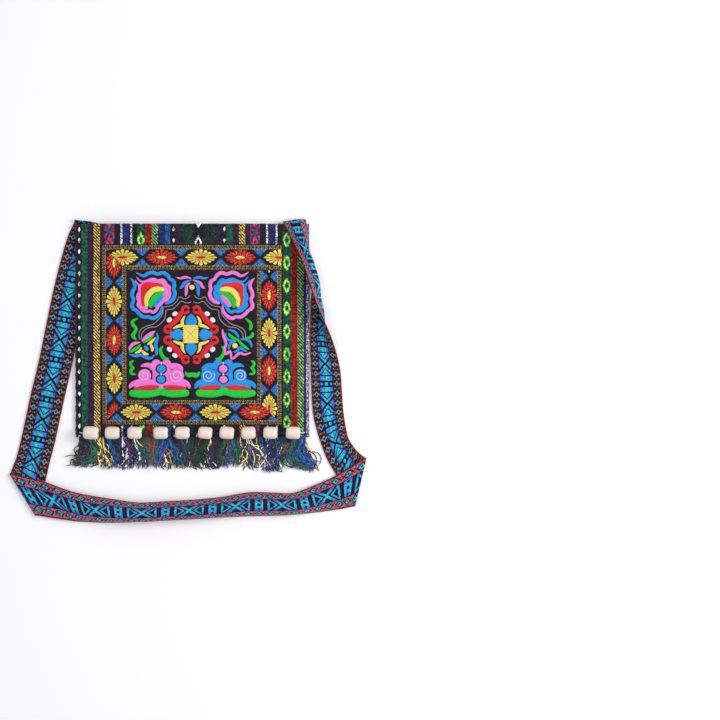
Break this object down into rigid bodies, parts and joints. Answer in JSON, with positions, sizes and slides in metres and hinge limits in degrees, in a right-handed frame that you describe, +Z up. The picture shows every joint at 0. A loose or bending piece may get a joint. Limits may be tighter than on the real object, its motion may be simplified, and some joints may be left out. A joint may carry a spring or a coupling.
{
  "type": "shoulder bag",
  "caption": "Flat woven shoulder bag lying on its back: striped cloth pouch with an embroidered square in flower ribbon, wooden beads, a yarn fringe and a patterned woven strap.",
  "frame": {"origin": "the middle of the foot of the whole object's box, on the table that the bag lies on", "axes": "+X to the right across the bag as its front faces up, +Y from the fringe towards the mouth, +Z up from the table"},
  "size_m": [0.393, 0.3336, 0.0239],
  "materials": {
    "striped_cloth": "thick woven cotton in green, purple, blue, red and gold stripes",
    "embroidery": "black cloth with glossy satin stitch in pink, blue, red, yellow and green",
    "flower_ribbon": "woven ribbon, yellow and red flowers on black",
    "pale_wood": "plain turned wood, matt",
    "thread": "twisted cotton thread",
    "fringe_yarn": "loose cotton warp ends in the stripes' colours",
    "woven_strap": "jacquard woven band, blue, black and orange"
  },
  "bodies": {
    "root": {"back_panel": "striped_cloth", "front_panel": "striped_cloth", "embroidered_panel": "embroidery", "trim_bottom": "flower_ribbon", "trim_right": "flower_ribbon", "trim_top": "flower_ribbon", "trim_left": "flower_ribbon", "bead_01": "pale_wood", "bead_02": "pale_wood", "bead_03": "pale_wood", "bead_04": "pale_wood", "bead_05": "pale_wood", "bead_06": "pale_wood", "bead_07": "pale_wood", "bead_08": "pale_wood", "bead_09": "pale_wood", "bead_10": "pale_wood", "bead_thread": "thread", "fringe_front": "fringe_yarn", "fringe_back": "fringe_yarn", "strap": "woven_strap"}
  },
  "joints": []
}
